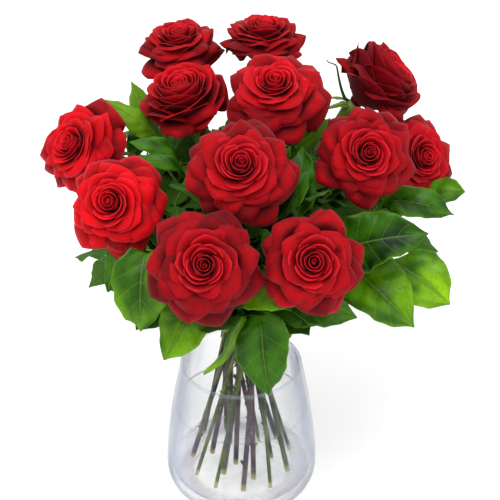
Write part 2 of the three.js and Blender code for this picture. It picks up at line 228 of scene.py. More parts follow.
class Skin:
    """Gathers patches of points and faces, then makes one smooth mesh object of them."""

    def __init__(self):
        self.points, self.uvs, self.tints, self.sides, self.faces = [], [], [], [], []
        self.count = 0

    def add(self, points, faces, uv, tint, side=None):
        points = np.asarray(points, float).reshape(-1, 3)
        total = len(points)
        self.points.append(points)
        self.uvs.append(np.asarray(uv, float).reshape(-1, 2))
        self.tints.append(np.broadcast_to(np.asarray(tint, float), (total, 3)))
        self.sides.append(np.full(total, 1.0) if side is None else np.asarray(side, float))
        self.faces += [np.asarray(group, int) + self.count for group in faces]
        self.count += total

    def make(self, name, finish, slot, replaced=()):
        mesh = bpy.data.meshes.new(name)
        points = np.concatenate(self.points)
        loops = np.concatenate([group.ravel() for group in self.faces])
        sizes = np.concatenate([np.full(len(group), group.shape[1]) for group in self.faces])
        starts = np.concatenate([[0], np.cumsum(sizes)[:-1]])
        mesh.vertices.add(len(points))
        mesh.vertices.foreach_set("co", points.astype(np.float32).ravel())
        mesh.loops.add(len(loops))
        mesh.loops.foreach_set("vertex_index", loops.astype(np.int32))
        mesh.polygons.add(len(sizes))
        mesh.polygons.foreach_set("loop_start", starts.astype(np.int32))
        mesh.update(calc_edges=True)
        layer = mesh.uv_layers.new(name="UVMap")
        layer.data.foreach_set("uv", np.concatenate(self.uvs)[loops].astype(np.float32).ravel())
        tint = np.ones((len(points), 4), np.float32)
        tint[:, :3] = np.concatenate(self.tints)
        mesh.color_attributes.new("tint", "FLOAT_COLOR", "POINT").data.foreach_set("color", tint.ravel())
        side = np.concatenate(self.sides).astype(np.float32)
        mesh.attributes.new("side", "FLOAT", "POINT").data.foreach_set("value", side)
        mesh.materials.append(finish.material)
        mesh.shade_smooth()
        mesh.validate()
        piece = placed(name, mesh)
        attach(piece, BODY)
        if replaced:
            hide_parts(*replaced)
        return piece


def unit(vectors):
    length = np.linalg.norm(vectors, axis=-1, keepdims=True)
    return vectors / np.maximum(length, 1e-12)


def smooth(value, low, high):
    t = np.clip((value - low) / (high - low), 0.0, 1.0)
    return t * t * (3 - 2 * t)


def layered(*values):
    """Arrays or numbers spread to one shape and stacked along a new last axis."""
    return np.stack(np.broadcast_arrays(*values), axis=-1)


def lengths_along(points):
    """The distance of each point of a polyline from its start."""
    return np.concatenate([[0], np.cumsum(np.linalg.norm(np.diff(points, axis=0), axis=1))])


def cross_directions(axis):
    """Two directions square to an axis and to each other."""
    helper = UP if abs(axis @ UP) < 0.95 else np.array([0.0, 1.0, 0.0])
    side = unit(np.cross(helper, axis))
    return side, np.cross(axis, side)


def turned_way(first, second, angle):
    """The direction at that angle from the first of two square directions towards the second."""
    return first * math.cos(angle) + second * math.sin(angle)


def grid_faces(rows, columns, closed=False):
    """Quads over a grid of points counted row by row, closed across the columns if asked."""
    across = columns if closed else columns - 1
    row, column = np.meshgrid(np.arange(rows - 1), np.arange(across), indexing="ij")
    after = (column + 1) % columns
    here = row * columns
    above = here + columns
    corners = (here + column, here + after, above + after, above + column)
    return np.stack([corner.ravel() for corner in corners], axis=1)


def capped_faces(rows, sides):
    """The faces of a tube of rings, with a fan at each end. The two middle points come after the rings."""
    ring = np.arange(sides)
    after = np.roll(ring, -1)
    last = (rows - 1) * sides
    foot = np.full(sides, rows * sides)
    return [grid_faces(rows, sides, closed=True),
            np.stack([after, ring, foot], axis=1),
            np.stack([ring + last, after + last, foot + 1], axis=1)]


def add_sheet(skin, grid, thickness, uv, tint):
    """A thin closed sheet on a grid of middle points. Its inner face is on the side of the normals."""
    rows, columns = grid.shape[:2]
    normals = unit(np.cross(np.gradient(grid, axis=1), np.gradient(grid, axis=0)))
    half = thickness[..., None] / 2
    points = np.concatenate([(grid + normals * half).reshape(-1, 3), (grid - normals * half).reshape(-1, 3)])
    front = grid_faces(rows, columns)
    total = rows * columns
    back = front[:, [0, 3, 2, 1]] + total
    index = np.arange(total).reshape(rows, columns)
    ring = np.concatenate([index[0, :-1], index[:-1, -1], index[-1, :0:-1], index[:0:-1, 0]])
    after = np.roll(ring, -1)
    rim = np.stack([ring, ring + total, after + total, after], axis=1)
    side = np.concatenate([np.ones(total), np.zeros(total)])
    skin.add(points, [front, back, rim], np.concatenate([uv.reshape(-1, 2)] * 2),
             np.concatenate([tint.reshape(-1, 3)] * 2), side)


def path_frames(points):
    """Tangents and two steady cross directions along a polyline."""
    tangents = unit(np.gradient(points, axis=0))
    upright = abs(tangents[0][2]) >= 0.9
    first = [unit(np.cross(tangents[0], ASIDE if upright else UP))]
    for tangent in tangents[1:]:
        first.append(unit(first[-1] - tangent * (first[-1] @ tangent)))
    first = np.array(first)
    return tangents, first, np.cross(tangents, first)


# How far the middle of a cut end stands out, in radii.
END_BULGE = 0.25


def add_tube(skin, points, radii, sides, tint):
    """A closed round tube along points, with rounded-off ends.

    radii is one number, one for each point, or one for each point and side.
    """
    rows = len(points)
    tangents, first, second = path_frames(points)
    angle = np.linspace(0, TURN, sides, endpoint=False)
    radii = np.asarray(radii, float)
    if radii.ndim == 1:
        radii = radii[:, None]
    radii = np.broadcast_to(radii, (rows, sides))
    spokes = np.cos(angle)[None, :, None] * first[:, None] + np.sin(angle)[None, :, None] * second[:, None]
    grid = points[:, None] + spokes * radii[..., None]
    length = lengths_along(points)
    uv = layered(angle[None, :] / TURN, length[:, None])
    foot = points[0] - tangents[0] * radii[0, 0] * END_BULGE
    head = points[-1] + tangents[-1] * radii[-1, 0] * END_BULGE
    all_points = np.concatenate([grid.reshape(-1, 3), [foot, head]])
    all_uv = np.concatenate([uv.reshape(-1, 2), [[0.5, length[0]], [0.5, length[-1]]]])
    tint = np.asarray(tint, float)
    if tint.ndim == 2:
        tint = np.concatenate([np.repeat(tint, sides, axis=0), tint[:1], tint[-1:]])
    skin.add(all_points, capped_faces(rows, sides), all_uv, tint)


def lathe(skin, profile, sides, tint):
    """A solid of revolution about +Z from a profile that starts and ends on the axis."""
    profile = np.asarray(profile, float)
    angle = np.linspace(0, TURN, sides, endpoint=False)
    radius = profile[1:-1, :1]
    height = profile[1:-1, 1:]
    grid = layered(radius * np.cos(angle), radius * np.sin(angle), height)
    uv = layered(angle[None, :] / TURN, height * 5)
    points = np.concatenate([grid.reshape(-1, 3), [[0, 0, profile[0, 1]], [0, 0, profile[-1, 1]]]])
    uv = np.concatenate([uv.reshape(-1, 2), [[0.5, 0], [0.5, 1]]])
    skin.add(points, capped_faces(len(radius), sides), uv, tint)


def arc(centre, radius, start, end, steps):
    angle = np.radians(np.linspace(start, end, steps))
    return [(centre[0] + radius * math.cos(a), centre[1] + radius * math.sin(a)) for a in angle]


def spline(points, count):
    """Evenly spaced points on a smooth curve through the given ones."""
    points = np.asarray(points, float)
    padded = np.concatenate([[2 * points[0] - points[1]], points, [2 * points[-1] - points[-2]]])
    t = np.linspace(0, 1, 24, endpoint=False)[:, None]
    fine = []
    for i in range(len(points) - 1):
        a, b, c, d = padded[i:i + 4]
        square = 2 * a - 5 * b + 4 * c - d
        cube = 3 * b - a - 3 * c + d
        fine.append(0.5 * (2 * b + (c - a) * t + square * t**2 + cube * t**3))
    return resample(count, np.concatenate([*fine, points[-1:]]))[0]


def resample(count, points, *others):
    """Evenly spaced points along a polyline, and anything else carried along it, as columns."""
    length = lengths_along(points)
    at = np.linspace(0, length[-1], count)
    carried = []
    for values in (points, *others):
        columns = np.asarray(values, float).reshape(len(points), -1).T
        carried.append(np.stack([np.interp(at, length, column) for column in columns], axis=1))
    return carried


# ---------------------------------------------------------------- reading the frame


def solid_of(node):
    """A CAD node's welded corners and the neighbours of each."""
    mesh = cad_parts[node].data
    mesh.calc_loop_triangles()
    places = np.empty(len(mesh.vertices) * 3, np.float32)
    mesh.vertices.foreach_get("co", places)
    triangles = np.empty(len(mesh.loop_triangles) * 3, np.int32)
    mesh.loop_triangles.foreach_get("vertices", triangles)
    corners, weld = np.unique(np.round(places.reshape(-1, 3), 6), axis=0, return_inverse=True)
    triangles = weld.ravel()[triangles].reshape(-1, 3)
    neighbours = [set() for _ in corners]
    for a, b, c in triangles:
        neighbours[a] |= {b, c}
        neighbours[b] |= {a, c}
        neighbours[c] |= {a, b}
    return corners.astype(float), neighbours


def rings_of(corners, neighbours, start):
    """The corners ring by ring along a drawn-out solid, from the ring that start is in."""
    found = set(start)
    ring = set(start)
    rings = []
    while ring:
        rings.append(corners[sorted(ring)])
        ring = set().union(*(neighbours[i] for i in ring)) - found
        found |= ring
    return rings


def stem_line(node):
    """The middle line of a stem's tube and its radius, from its cut foot up to where it swells."""
    corners, neighbours = solid_of(node)
    foot = np.argsort(corners[:, 2])[:STEM_SIDES]
    rings = rings_of(corners, neighbours, foot)
    radius = np.linalg.norm(rings[0] - rings[0].mean(0), axis=1).mean()
    line = []
    for ring in rings:
        if len(ring) != STEM_SIDES or np.ptp(ring, axis=0).max() > HIP_SWELL * radius:
            break
        line.append(ring.mean(0))
    return np.array(line), radius, corners


def bloom_pose(node, stem_corners):
    """Where a bloom sits: the middle of its seat, the way it faces, its diameter and its depth.

    The depth is 1 for a bloom that is wide open, and more for one that is still cupped.
    """
    corners, _ = solid_of(node)
    middle = corners.mean(0)
    _, directions = np.linalg.eigh(np.cov((corners - middle).T))
    nearest = None
    for axis in (*directions.T, *-directions.T):
        height = (corners - middle) @ axis
        seat = corners[height < height.min() + SEAT_DEPTH]
        if len(seat) < SEAT_CORNERS:
            continue
        gap = np.linalg.norm(stem_corners - seat.mean(0), axis=1).min()
        if nearest is None or gap < nearest[0]:
            nearest = (gap, seat.mean(0), axis)
    _, seat, axis = nearest
    height = (corners - seat) @ axis
    size = 2 * np.linalg.norm(corners - seat - height[:, None] * axis, axis=1).max()
    return seat, axis, size, np.ptp(height) / size / OPEN_DEPTH


def leaf_rows(node, branches):
    """A leaf's rows from its stalk to its tip: the middle line, the way across it, and its half width."""
    corners, neighbours = solid_of(node)
    distance = np.array([np.linalg.norm(branches - corner, axis=1).min() for corner in corners])
    rings = rings_of(corners, neighbours, np.argsort(distance)[:LEAF_ROW])
    middle, across, width = [], [], []
    for ring in rings:
        gaps = np.linalg.norm(ring[:, None] - ring[None], axis=2)
        a, b = np.unravel_index(np.argmax(gaps), gaps.shape)
        direction = (ring[b] - ring[a]) / gaps[a, b]
        if across and direction @ across[-1] < 0:
            direction = -direction
        across.append(direction)
        middle.append(ring.mean(0))
        width.append(gaps[a, b] / 2)
    middle, across, width = np.array(middle), np.array(across), np.array(width)
    outward = middle.mean(0) * FLAT
    upper = unit(UP + 0.8 * unit(outward))
    facing = np.cross(across, unit(np.gradient(middle, axis=0))) @ upper
    if (facing * width).sum() < 0:
        across = -across
    return middle, across, width


# ---------------------------------------------------------------- petals and blooms


def bezier(points, t):
    a, b, c, d = points
    return a * (1 - t)**3 + 3 * b * t * (1 - t)**2 + 3 * c * t**2 * (1 - t) + d * t**3


# The points of one petal, from its claw to its rim and from side to side.
ROWS, COLUMNS = 13, 15

# The whorls of petals from the outside in, sizes in bloom diameters and angles in degrees: how many petals,
# how far out and how high their rims are, half their spread round the bloom, how the rim points (90 is up,
# 0 is flat outward), how pointed the tip is and how far the sides roll back.
WHORLS = (
    (5, 0.505, 0.250, 52, -54, 0.33, 0.125),
    (5, 0.472, 0.325, 53, -44, 0.32, 0.120),
    (5, 0.430, 0.390, 55, -32, 0.28, 0.104),
    (5, 0.384, 0.442, 57, -16, 0.22, 0.084),
    (4, 0.336, 0.486, 68, 2, 0.15, 0.060),
    (4, 0.284, 0.520, 68, 26, 0.11, 0.040),
    (4, 0.228, 0.542, 70, 48, 0.08, 0.026),
    (4, 0.176, 0.553, 72, 62, 0.06, 0.016),
    (3, 0.137, 0.556, 80, 74, 0.06, 0.013),
    (3, 0.083, 0.558, 96, 88, 0.03, 0.006),
    (2, 0.045, 0.560, 140, 96, 0.02, 0.0),
    (1, 0.018, 0.562, 165, 98, 0.0, 0.0),
)

# What happens to a petal for each 1 that its bloom is closed. Its rim stands higher, in diameters, and
# turns up, in degrees. Its claw turns outward, in degrees, as the bottom of a cup does. It draws in, and
# it loses its point and its loose ways.
RIM_RAISED = 0.50
RIM_TURNED_UP = 340
CLAW_TURNED_OUT = 70
DRAWN_IN = 0.12
CALMED = 2.6


def petal_grid(whorl, turned, size, closing, rng):
    """One petal of a bloom of that diameter, in the bloom's own frame: +Z is the way the bloom faces.

    closing is 0 for a petal of a wide open bloom. The more it is, the more the petal stands up as a cup.
    """
    _, rim, height, span, arrive, tip, roll = whorl
    openness = rim / 0.5
    v = np.linspace(0, 1, ROWS)[:, None]
    u = np.linspace(-1, 1, COLUMNS)[None, :]
    off = np.abs(u)
    further, higher, wider, steeper, sharper, uneven, faster, later, rolled = rng.uniform(-1, 1, 9)
    calm = 1 - CALMED * closing
    loose = smooth(openness, 0.15, 0.8) * calm
    tip = tip * calm
    closing = closing * openness

    # The middle line of the petal, from its claw near the axis to the middle of its rim.
    rim = size * rim * (1 + 0.05 * further * loose - DRAWN_IN * closing)
    sunk = 0.03 * smooth(openness, 0.9, 1.0) * further
    height = size * (height + RIM_RAISED * closing + 0.045 * higher * loose - sunk)
    foot = size * (0.010 + 0.045 * openness)
    foot_height = size * (0.09 - 0.04 * openness)
    leave = math.radians(np.interp(openness, (0, 0.4, 1), (88, 70, 34)) - CLAW_TURNED_OUT * closing)
    arrive = math.radians(arrive + RIM_TURNED_UP * closing + 12 * steeper * loose)
    reach = math.hypot(rim - foot, height - foot_height)
    start = np.array([foot, foot_height])
    end = np.array([rim, height])
    leaving = np.array([math.cos(leave), math.sin(leave)])
    arriving = np.array([math.cos(arrive), math.sin(arrive)])
    controls = (start, start + 0.46 * reach * leaving, end - 0.42 * reach * arriving, end)
    radius = bezier([c[0] for c in controls], v)
    z = bezier([c[1] for c in controls], v)

    # The rim falls away to both sides, which leaves a point in the middle of an open petal.
    tip = tip * (1 + 0.35 * sharper)
    along = v * (1 - tip * (0.62 * off**1.08 + 0.38 * off**3) * v)
    radius = np.interp(along, v[:, 0], radius[:, 0])
    z = np.interp(along, v[:, 0], z[:, 0])
    near_rim = smooth(v, 0.5, 1.0)
    radius = radius * (1 - 0.50 * tip * off**1.5 * near_rim)

    # The sides roll back and down, the lip curls out, and the tip is pinched.
    roll = roll * size * (1 + 0.4 * rolled)
    z = z - roll * off**2.1 * near_rim * (1 + 0.35 * uneven * np.sign(u))
    radius = radius + 0.25 * roll * off**2 * near_rim
    curl = smooth(v, 0.84, 1.0) * size * (0.008 + 0.024 * loose) * (1 + 0.5 * uneven)
    radius = radius + curl
    z = z - curl * (0.15 + 0.9 * openness)
    pinch = size * 0.026 * loose * np.exp(-(off / 0.16)**1.5) * smooth(v, 0.75, 1.0)
    z = z + pinch * 0.8
    radius = radius + pinch * 0.5

    # A petal is narrow at its claw and full below its rim, and overlaps the next one like a scroll.
    span = math.radians(span) * (1 + 0.08 * wider)
    breadth = np.interp(v, (0, 0.25, 0.55, 0.8, 0.93, 1), (0.40, 0.78, 1.0, 1.0, 0.90, 0.74))
    angle = turned - u * span * breadth
    radius = radius * (1 + u * (0.10 + 0.03 * loose) * smooth(v, 0.1, 0.6))

    # Its rim flutters and its belly buckles a little.
    flutter = size * 0.011 * smooth(v, 0.55, 1.0) * loose
    wave = flutter * np.sin(u * (4.5 + 2 * faster) + 3 * later)
    wave = wave + 0.5 * flutter * np.sin(10 * u + 9 * sharper)
    belly = smooth(v, 0.2, 0.7) * (1 - smooth(v, 0.8, 1.0))
    radius = radius + size * 0.006 * loose * np.sin(7 * u + 5 * wider) * belly
    grid = layered(radius * np.cos(angle), radius * np.sin(angle), z + wave)
    return grid, layered((u + 1) / 2, v)


# Half sections, in bloom diameters, of the receptacle that the petals grow from and of the furled heart
# that closes the middle.
KNOB = ((0, 0.0), (0.05, 0.0), (0.075, 0.03), (0.085, 0.075), (0.06, 0.115), (0.0, 0.125))
HEART = ((0, 0.30), (0.012, 0.30), (0.024, 0.44), (0.020, 0.515), (0.010, 0.541), (0, 0.546))
CORE_SIDES = 16

# A bloom deeper than this is cupped, with a few outer petals left hanging.
CUPPED = 1.15
# How much taller all of a bloom is for each 1 that it is closed.
TALLER = 0.45


def bloom(name, node, stem_corners, finish, seed, heat):
    """A whole open rose, petal by petal, sitting where the CAD bloom sits."""
    rng = np.random.default_rng(seed)
    seat, axis, size, depth = bloom_pose(node, stem_corners)
    axes = np.stack([*cross_directions(axis), axis])
    skin = Skin()
    taller = 1 + TALLER * (depth - 1)
    start = rng.uniform(0, TURN)
    lean = rng.normal(0, 0.014 * size, 2)
    for whorl in WHORLS:
        petals, rim = whorl[:2]
        start += math.pi / petals + rng.uniform(0.1, 0.35)
        for i in range(petals):
            turned = start + TURN * i / petals + rng.uniform(-0.14, 0.14)
            hanging = depth > CUPPED and rim > 0.45 and i % 3 == 1
            closing = 0 if hanging else depth - 1
            grid, uv = petal_grid(whorl, turned, size * (1 - 0.012 * i), closing, rng)
            grid[..., :2] += lean * (1 - 2 * rim) * smooth(grid[..., 2:3] / size, 0.1, 0.5)
            grid[..., 2] *= taller
            v = uv[..., 1]
            thickness = size * np.interp(v, (0, 0.3, 0.85, 1), (0.010, 0.0085, 0.006, 0.004))
            tint = layered(2 * rim, rng.uniform(), heat + 0 * v)
            add_sheet(skin, seat + grid @ axes, thickness, uv, tint)
    for profile, rho, lift, moved in ((KNOB, 1.0, 1.0, 0.0), (HEART, 0.0, taller, 1.0)):
        part = Skin()
        lathe(part, [(r * size, h * size * lift) for r, h in profile], CORE_SIDES, (rho, 0.5, heat))
        places = seat + (part.points[0] + moved * np.array([*lean, 0.0])) @ axes
        skin.add(places, part.faces, part.uvs[0], part.tints[0], np.full(part.count, moved))
    skin.make(name, finish, "petals", (node,))


# ---------------------------------------------------------------- leaves


def leaf_sheet(skin, middle, across, width, rng, rows, tint, columns=15, veins=VEINS, serrate=0.0,
               fold=0.22, quilt=1.0, jag=0.0, thick=0.0006):
    """A leaf blade with a sunk midrib, quilted side veins, a wavy edge and a pointed tip.

    middle, across and width are the blade's middle line, the way across it and its half width.
    """
    middle, across, width = resample(rows, middle, np.broadcast_to(across, middle.shape), width)
    tangents = unit(np.gradient(middle, axis=0))
    across = unit(across - tangents * np.sum(across * tangents, axis=1, keepdims=True))
    normal = np.cross(across, tangents)
    v = np.linspace(0, 1, rows)[:, None]
    u = np.linspace(-1, 1, columns)[None, :]
    u = np.sign(u) * np.abs(u)**1.12
    off = np.abs(u)
    phase = rng.uniform(0, TURN, 3)
    blade = smooth(v, 0.02, 0.2)

    # The edge sways in and out, with a low point at each side vein or with fine teeth.
    point = np.abs(2 * (((v - 0.16) * veins) % 1.0) - 1)**1.6
    sway = np.sin(TURN * 1.7 * v + phase[0]) * np.sign(u)
    tooth = np.mod(v * rows / 2, 1.0)
    edge = 1 + blade * (0.07 * sway + jag * (point - 0.4) + serrate * (tooth - 0.5))
    span = width * edge * u

    # Pillows between the veins, the fold along the midrib, and long and short waves at the edge.
    pillow = np.sin(math.pi * (((v - 0.16 * off) * veins) % 1.0))**2
    swell = 0.13 * quilt * pillow * off**0.6 * (1 - off**4)
    long_wave = 0.20 * off**2 * np.sin(TURN * 2.2 * v + phase[1] + 1.3 * np.sign(u))
    short_wave = 0.04 * off**3 * np.sin(TURN * 6.3 * v + phase[2])
    lift = width * blade * (swell + fold * off**1.25 + long_wave + short_wave)
    grid = middle[:, None] + across[:, None] * span[..., None] + normal[:, None] * lift[..., None]

    # The blade is thickest along the midrib and thin at its edge.
    thickness = thick * (0.7 + 1.6 * np.exp(-(u / 0.12)**2)) * (0.5 + 0.5 * blade)
    thickness = thickness * np.interp(off, (0, 0.85, 1), (1, 1, 0.45))
    add_sheet(skin, grid, thickness, layered((u + 1) / 2, v), np.broadcast_to(tint, (rows, columns, 3)))
    keep = int(rows * 0.9)
    rib = middle[:keep] - normal[:keep] * 0.4 * MM
    add_tube(skin, rib, np.linspace(1.1 * MM, 0.4 * MM, keep), 6, (*tint[:2], 1.0))


# ---------------------------------------------------------------- finishes

SRGB = 2.2


def paint(red, green, blue):
    """A colour given as it looks on a paint card, 0 to 255, made linear."""
    return tuple((value / 255) ** SRGB for value in (red, green, blue))


def petal_finish():
    """Dark red velvet, with painted shade deep down towards each petal's claw and painted light towards its
    lip and across its middle, and brighter at the heart. The tint says how far out the petal is, a random
    shade, and how warm the rose is."""
    finish = Finish("petal_velvet", specular_ior_level=0.10, sheen_weight=0.10, sheen_roughness=0.4,
                    sheen_tint=(1.0, 0.30, 0.34, 1.0), subsurface_weight=0.08, subsurface_scale=0.003,
                    subsurface_radius=(1.0, 0.10, 0.08))
    rho, shade, heat = finish.tint()
    across, along = finish.uv()
    off_centre = (across - 0.5).absolute() * 2
    fibres = finish.noise(finish.place(across * 26.0, along * 2.2, shade * 9.0), 1.6, 4.0)
    blotch = finish.noise(finish.place(across * 2.6, along * 2.0, shade * 21.0), 1.3, 2.0)
    # Painted light and shade: dark red deep down between the petals where they shade each other, brighter red
    # near the lip and across each petal's middle.
    bright = finish.blend(heat, paint(150, 4, 20), paint(214, 8, 24))
    shaded_red = finish.blend(heat, paint(52, 0, 8), paint(104, 0, 12))
    lit = along.ramp(0.64, 1.0) * (0.5 + 0.75 * shade) * (1.15 - 0.45 * off_centre)
    red_with_painted_shade = finish.blend(lit + rho.ramp(0.02, 0.34, 0.6, 0.0), shaded_red, bright)
    aged_and_shaded = finish.blend(rho.ramp(0.62, 1.0) * blotch.ramp(0.35, 0.7) * 0.8, red_with_painted_shade, paint(78, 2, 16))
    veined = finish.blend(fibres.ramp(0.45, 0.8) * 0.22, aged_and_shaded, paint(64, 0, 8))
    # The lip: a painted pinkish highlight on the inner petals, and the outer petals' own darker maroon edge.
    lip_highlight_and_edge = finish.blend(rho.ramp(0.3, 0.9) * (1.1 - heat), paint(222, 34, 48), paint(92, 6, 22))
    lip = along.ramp(0.94, 1.0) * (0.30 + 0.5 * blotch.ramp(0.4, 0.6))
    lipped = finish.blend(lip, veined, lip_highlight_and_edge)
    back = (1 - finish.side()) * 0.6
    finish.colour(finish.blend(back, lipped, paint(98, 6, 22)))
    finish.roughness(0.60 + 0.2 * fibres)
    finish.bump(fibres + 0.5 * blotch, 0.25, 0.0004)
    return finish


def leaf_finish(name, bright, mid, dark, vein, gloss):
    """Veined green, with broad patches of painted light and shade and painted shade in the furrow by the
    midrib.
    The tint says how light the leaf is, with painted shade taken off the broad leaves high up, a random
    shade, and 1 on the rib.
    """
    finish = Finish(name, specular_ior_level=0.12, coat_weight=gloss, coat_roughness=0.18,
                    subsurface_weight=0.06, subsurface_scale=0.003, subsurface_radius=(0.4, 1.0, 0.2))
    light, shade, rib = finish.tint()
    across, along = finish.uv()
    off_rib = (across - 0.5).absolute()
    vein_line = (along - 0.32 * off_rib) * VEINS
    side_vein = (vein_line * math.pi).sine().absolute().ramp(0.0, 0.16, 1.0, 0.0)
    midrib = off_rib.ramp(0.004, 0.022, 1.0, 0.0)
    cells = finish.noise(finish.place(across * 9.0, along * 16.0, shade * 13.0), 2.2, 4.0)
    cloud = finish.noise(finish.place(across * 1.4, along * 2.0, shade * 31.0), 1.2, 2.0)
    # Broad cloudy patches of painted shade and painted light stand in for gloss and for light through the
    # leaf.
    body = finish.blend(light * 0.5 + cloud.ramp(0.32, 0.68) * 0.5, dark, mid)
    painted_light_patches = finish.blend(light.ramp(0.3, 1.1) * cloud.ramp(0.3, 0.75) * 0.8, body, bright)
    patched = finish.blend(cells.ramp(0.42, 0.80) * 0.32, painted_light_patches, dark)
    # Painted shade in the furrow along the midrib.
    painted_furrow_shade = finish.blend(off_rib.ramp(0.02, 0.09, 0.4, 0.0), patched, dark)
    veined = finish.blend(midrib * 0.30 + side_vein * 0.22, painted_furrow_shade, vein)
    edged = finish.blend(off_rib.ramp(0.45, 0.5) * 0.25, veined, vein)
    under = finish.blend(0.55, veined, vein)
    face = finish.blend(1 - finish.side(), edged, under)
    finish.colour(finish.blend(rib, face, vein))
    finish.roughness(0.34 + 0.25 * cells + 0.2 * (1 - finish.side()))
    finish.bump(cells * 0.6 - side_vein * 0.8, 0.45, 0.0005)
    return finish


def stem_finish():
    """Rose wood: green to purple-brown skin with a fine grain, pale where it was cut. The tint says how
    brown it is, how far up the stem it is, and 1 on the cut."""
    finish = Finish("stem_skin", specular_ior_level=0.45, coat_weight=0.12, coat_roughness=0.35)
    ruddy, height, cut = finish.tint()
    place = finish.object_place()
    grain = finish.noise(finish.stretch(place, (900.0, 900.0, 90.0)), 1.0, 4.0)
    patch = finish.noise(place, 46.0, 3.0)
    green = finish.blend(patch.ramp(0.35, 0.65), paint(30, 46, 12), paint(84, 98, 38))
    brown = finish.blend(patch.ramp(0.4, 0.6), paint(42, 22, 54), paint(84, 62, 58))
    skin = finish.blend(ruddy.ramp(0.35, 0.75), green, brown)
    young = finish.blend(height.ramp(0.72, 0.97) * 0.8, skin, paint(112, 140, 52))
    grained = finish.blend(grain.ramp(0.45, 0.75) * 0.35, young, paint(56, 50, 30))
    finish.colour(finish.blend(cut, grained, paint(164, 158, 104)))
    finish.roughness(0.40 + 0.3 * grain)
    finish.bump(grain + patch * 0.6, 0.35, 0.0005)
    return finish


def twine_finish():
    finish = Finish("twine_fibre", specular_ior_level=0.2, sheen_weight=0.3, sheen_roughness=0.5)
    around, along = finish.uv()
    ply = (along * 1400.0 + around * TURN).sine() * 0.5 + 0.5
    hairs = finish.noise(finish.object_place(), 1800.0, 4.0)
    yarn = finish.blend(ply, paint(96, 78, 44), paint(178, 152, 104))
    finish.colour(finish.blend(hairs.ramp(0.4, 0.7) * 0.5, yarn, paint(74, 58, 34)))
    finish.roughness(0.75 + 0.2 * hairs)
    finish.bump(ply + hairs * 0.5, 0.6, 0.0003)
    return finish


def glass_finish(floor_height, foot_radius, top):
    """Thin clear glass, painted blue-grey where it is seen edge on as a painted reflection, with faint
    streaks in its thick foot.
    """
    finish = Finish("glass_clear", roughness=0.04, specular_ior_level=0.5)
    edge = finish.edge_on()
    place = finish.object_place()
    x, y, height = finish.split("XYZ", place)
    radius = (x * x + y * y) ** 0.5
    streaks = finish.noise(finish.stretch(place, (16.0, 16.0, 170.0)), 1.0, 3.0).ramp(0.35, 0.7)
    strokes = finish.noise(finish.stretch(place, (64.0, 64.0, 9.0)), 1.0, 3.0).ramp(0.38, 0.66)
    clouds = finish.noise(place, 38.0, 3.0).ramp(0.42, 0.75)
    low = height.ramp(floor_height * 0.9, floor_height * 1.9, 1.0, 0.0)
    band = low * radius.ramp(foot_radius * 0.80, foot_radius * 0.95)
    pale = finish.blend(streaks * band, paint(176, 184, 200), paint(176, 152, 162))
    # Painted reflection: blue-grey where the glass is seen edge on.
    finish.colour(finish.blend(edge.ramp(0.4, 1.0) * (0.45 + 0.55 * strokes), pale, paint(112, 122, 148)))
    haze = band * (0.20 + 0.36 * streaks) + low * clouds * 0.20
    lip = height.ramp(top - 0.0030, top - 0.0016)
    finish.alpha(0.02 + edge.ramp(0.26, 0.96, 0.0, 0.8) * (0.55 + 0.5 * strokes) + haze + lip * 0.16)
    return finish


def water_finish(level):
    """Still water: hardly there, but for its surface and a painted reflection along the line where it meets
    the glass.
    """
    finish = Finish("water_clear", roughness=0.02, specular_ior_level=0.35)
    edge = finish.edge_on()
    height = finish.split("XYZ", finish.object_place())[2]
    brim = height.ramp(level - 0.0015, level + 0.0015) * edge.ramp(0.1, 0.8)
    # Painted reflection: a grey line where the water meets the glass, seen edge on.
    finish.colour(finish.blend(brim, paint(214, 222, 234), paint(110, 118, 138)))
    finish.alpha(0.008 + edge.ramp(0.6, 1.0, 0.0, 0.25) + brim * 0.42)
    return finish


# ---------------------------------------------------------------- stems, hips and sepals

STEM_ROWS = 90
STEM_ROUND = 18
JOINT_SPACING = 0.055
THORN_SPACING = 0.032
THORN = 0.0042
THORN_TAPER = np.array([0.42, 0.26, 0.15, 0.07, 0.015])
SHOOT_TAPER = np.array([0.62, 0.60, 0.58, 0.56, 0.55, 0.53])


def add_thorn(skin, root, outward, downward, size, tint):
    """A hooked prickle on a stem: a cone that bends towards the stem's foot."""
    steps = np.linspace(0, 1, len(THORN_TAPER))[:, None]
    points = root + outward * size * steps + downward * size * 0.35 * steps**2
    add_tube(skin, points, size * THORN_TAPER, 6, tint)


def add_shoot(skin, root, way, radius, rng, tint):
    """The short stub of a side shoot, cut off square and pale."""
    steps = np.linspace(0, 1, len(SHOOT_TAPER))[:, None]
    points = root + way * radius * (1.2 + rng.uniform(0.6, 2.4)) * steps
    tints = np.repeat([tint], len(steps), axis=0)
    tints[-1, 2] = 1.0
    add_tube(skin, points, radius * SHOOT_TAPER, 10, tints)


def add_dry_sepal(skin, seat, axis, size):
    """One sepal that has dried into a long dark curl and stands up behind the bloom."""
    back = unit(-axis * FLAT)
    t = np.linspace(0, 1, 16)[:, None]
    hook = smooth(t, 0.75, 1.0)
    backward = back * size * (0.05 + 0.17 * np.sqrt(t) + 0.09 * hook)
    upward = UP * size * (0.03 + 0.53 * t - 0.06 * hook)
    radii = size * np.interp(t[:, 0], (0, 0.4, 1), (0.020, 0.014, 0.006))
    add_tube(skin, seat + backward + upward, radii, 8, (0.0, 0.3, 0.0))


